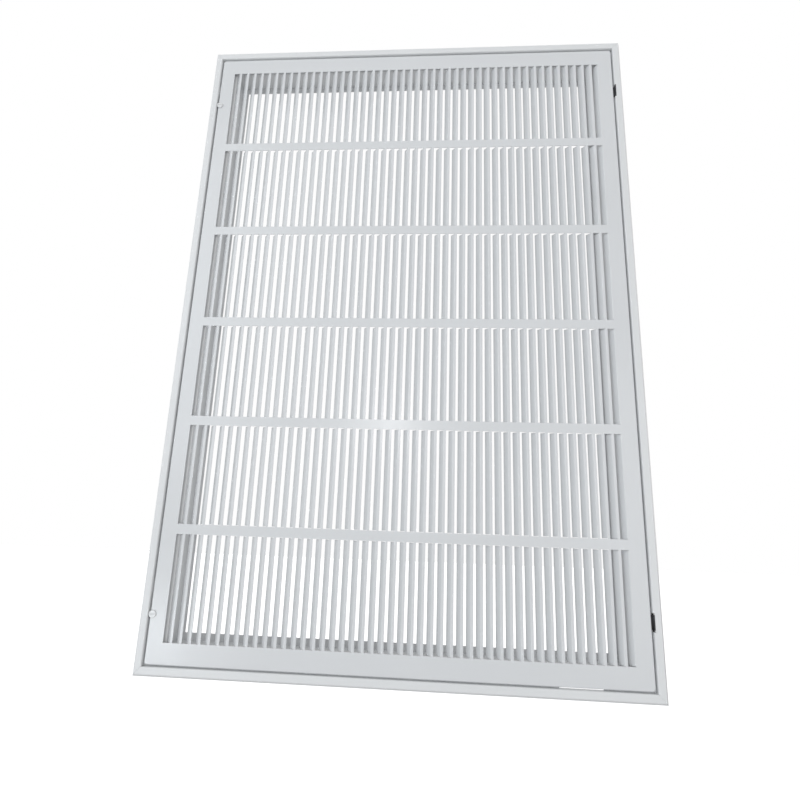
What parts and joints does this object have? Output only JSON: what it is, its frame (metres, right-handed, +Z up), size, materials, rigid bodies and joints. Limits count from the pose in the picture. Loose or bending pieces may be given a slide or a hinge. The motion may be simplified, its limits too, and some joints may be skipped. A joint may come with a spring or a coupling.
{
  "type": "louvred air grille",
  "caption": "Rectangular return-air grille: a hinged door of vertical louvres in a raised sheet-steel frame, shut by quarter-turn latches, with a neck behind for the duct and filter.",
  "frame": {"origin": "middle of the four wall screws, in the plane of the wall surface that the frame laps", "axes": "+Z up along the long side; +Y back into the wall along the duct; +X to the right seen from the room, towards the hinges"},
  "size_m": [0.454, 0.028, 0.6572],
  "materials": {
    "frame_powder_coat": "semi-gloss white powder coat",
    "door_powder_coat": "semi-gloss white powder coat",
    "zinc_plated_steel": "satin zinc plate",
    "black_phosphated_steel": "black phosphate, lightly oiled; guessed, because these parts hardly show and a dark backdrop seen through the hinge windows would look the same",
    "bright_pin_steel": "drawn bright",
    "latch_enamel": "glossy white enamel",
    "dark_nylon": "moulded, matt"
  },
  "bodies": {
    "frame": {"left_rail": "frame_powder_coat", "right_rail": "frame_powder_coat", "top_rail": "frame_powder_coat", "bottom_rail": "frame_powder_coat", "corner_key_top_left": "zinc_plated_steel", "corner_key_top_right": "zinc_plated_steel", "corner_key_bottom_left": "zinc_plated_steel", "corner_key_bottom_right": "zinc_plated_steel", "hinge_bracket_upper": "black_phosphated_steel", "hinge_bracket_lower": "black_phosphated_steel", "hinge_pin_upper": "bright_pin_steel", "hinge_pin_lower": "bright_pin_steel"},
    "door": {"face_panel": "door_powder_coat", "hinge_arm_upper": "black_phosphated_steel", "hinge_arm_lower": "black_phosphated_steel"},
    "latch_upper": {"latch_knob_upper": "latch_enamel", "latch_cam_upper": "zinc_plated_steel", "latch_washer_upper": "dark_nylon"},
    "latch_lower": {"latch_knob_lower": "latch_enamel", "latch_cam_lower": "zinc_plated_steel", "latch_washer_lower": "dark_nylon"}
  },
  "joints": [
    {"name": "door_hinge", "type": "hinge", "parent": "frame", "child": "door", "pos_m": [0.22, -0.0036, 0], "axis": [0, 0, 1], "range_deg": [0, 95]},
    {"name": "latch_upper_turn", "type": "hinge", "parent": "door", "child": "latch_upper", "pos_m": [-0.2147, -0.0042, 0.258], "axis": [0, 1, 0], "range_deg": [0, 90]},
    {"name": "latch_lower_turn", "type": "hinge", "parent": "door", "child": "latch_lower", "pos_m": [-0.2147, -0.0042, -0.277], "axis": [0, 1, 0], "range_deg": [0, 90]}
  ]
}
